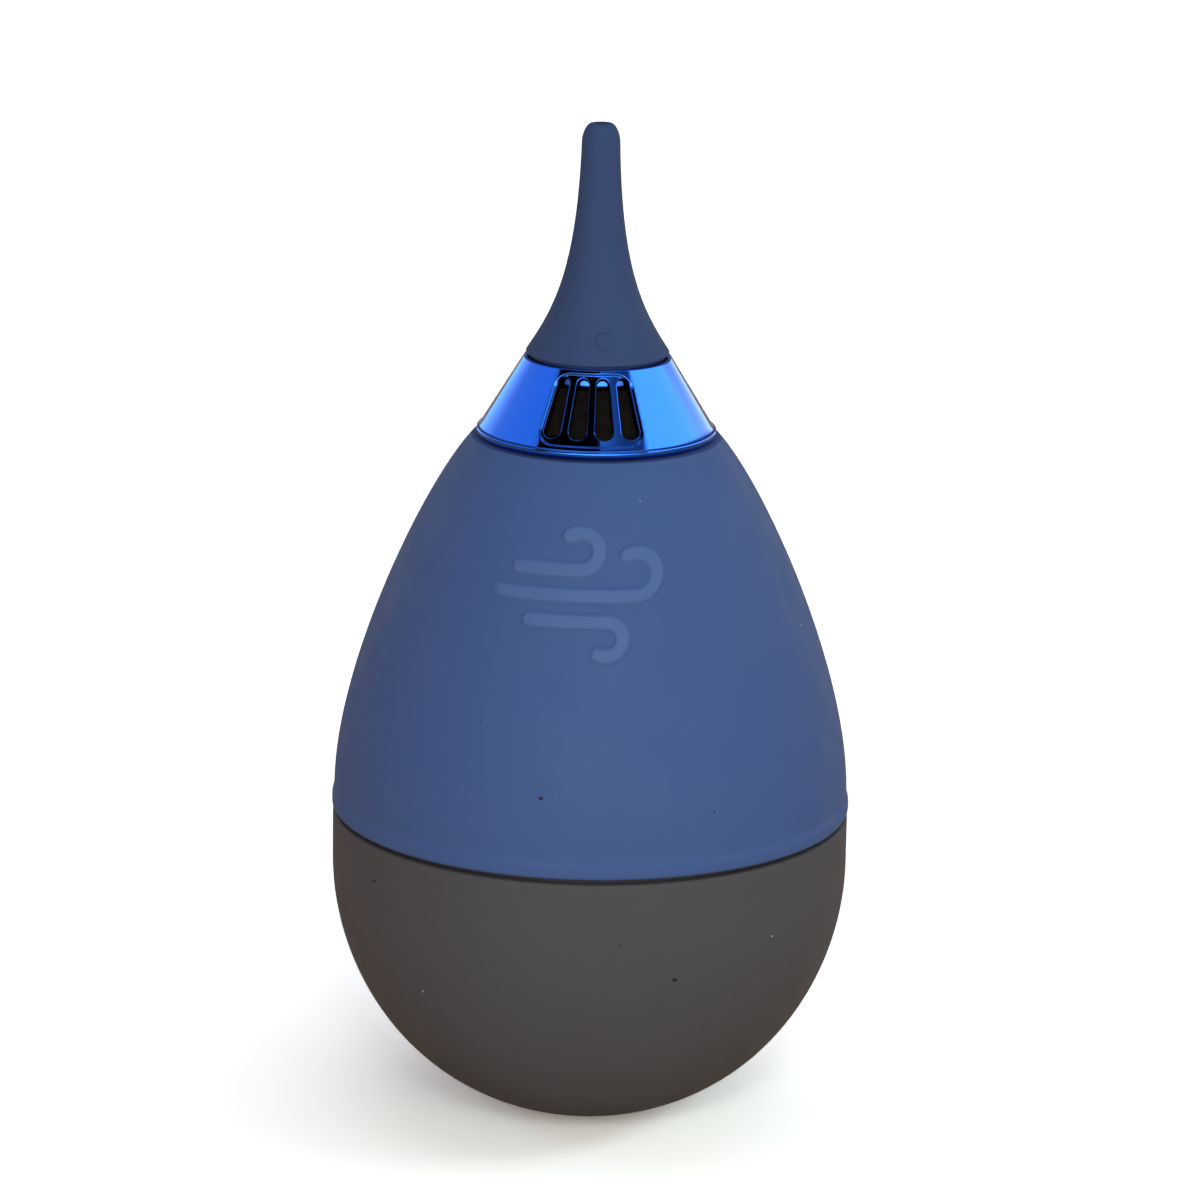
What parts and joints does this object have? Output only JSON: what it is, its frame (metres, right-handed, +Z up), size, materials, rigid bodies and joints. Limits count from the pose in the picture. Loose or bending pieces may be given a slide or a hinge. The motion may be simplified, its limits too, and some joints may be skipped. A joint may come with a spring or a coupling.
{
  "type": "squeeze bulb air blower",
  "caption": "Self-righting squeeze-bulb air blower: flared soft nozzle, vented plated collar with filtered one-way inlet, silicone bulb and weighted round base.",
  "frame": {"origin": "on the ground, under the middle of the flat foot", "axes": "+Z up through bulb, collar and nozzle; -Y is the front, where the vents are; +X to the right seen from the front"},
  "size_m": [0.066, 0.066, 0.1276],
  "materials": {
    "blue_silicone": "matt moulded silicone, slate blue",
    "nozzle_silicone": "matt moulded silicone, dark slate blue",
    "grey_silicone": "matt moulded silicone, warm dark grey",
    "plated_blue": "vacuum-metallised ABS under a clear blue lacquer, mirror-bright",
    "black_abs": "moulded black ABS",
    "filter_foam": "open-cell filter foam, brown-black",
    "foam_pad": "closed-cell adhesive foam",
    "valve_silicone": "translucent valve silicone",
    "seal_rubber": "black nitrile rubber",
    "screw_steel": "zinc-plated steel",
    "plated_steel_weight": "turned steel, zinc-plated"
  },
  "bodies": {
    "base": {"base_skin": "grey_silicone", "base_shell": "black_abs", "ballast_pad": "foam_pad", "ballast": "plated_steel_weight", "chamber_floor": "black_abs", "floor_seal": "seal_rubber", "floor_screws": "screw_steel", "bulb": "blue_silicone"},
    "head": {"valve_base": "black_abs", "neck_nut": "black_abs", "inlet_keeper": "black_abs", "outlet_housing": "black_abs", "filter_ring": "filter_foam", "filter_cage": "black_abs"},
    "collar": {"collar": "plated_blue"},
    "nozzle": {"nozzle": "nozzle_silicone", "nozzle_insert": "black_abs"},
    "outlet_valve": {"outlet_valve": "valve_silicone"},
    "inlet_valve": {"inlet_valve": "valve_silicone"}
  },
  "joints": [
    {"name": "bulb_squeeze", "type": "slide", "parent": "base", "child": "head", "axis": [0, 0, -1], "range_m": [0, 0.012], "stiffness_N_per_m": 1700, "deforming": ["bulb"]},
    {"name": "outlet_valve_lift", "type": "slide", "parent": "head", "child": "outlet_valve", "axis": [0, 0, 1], "range_m": [0, 0.0012]},
    {"name": "inlet_valve_drop", "type": "slide", "parent": "head", "child": "inlet_valve", "axis": [0, 0, -1], "range_m": [0, 0.0009], "stiffness_N_per_m": 10},
    {"name": "collar_lift", "type": "slide", "parent": "head", "child": "collar", "axis": [0, 0, 1], "range_m": [0, 0.014]},
    {"name": "nozzle_pull_off", "type": "slide", "parent": "collar", "child": "nozzle", "axis": [0, 0, 1], "range_m": [0, 0.01]}
  ],
  "couplings": [
    {"joint": "outlet_valve_lift", "follows": "bulb_squeeze", "ratio": 0.1}
  ]
}
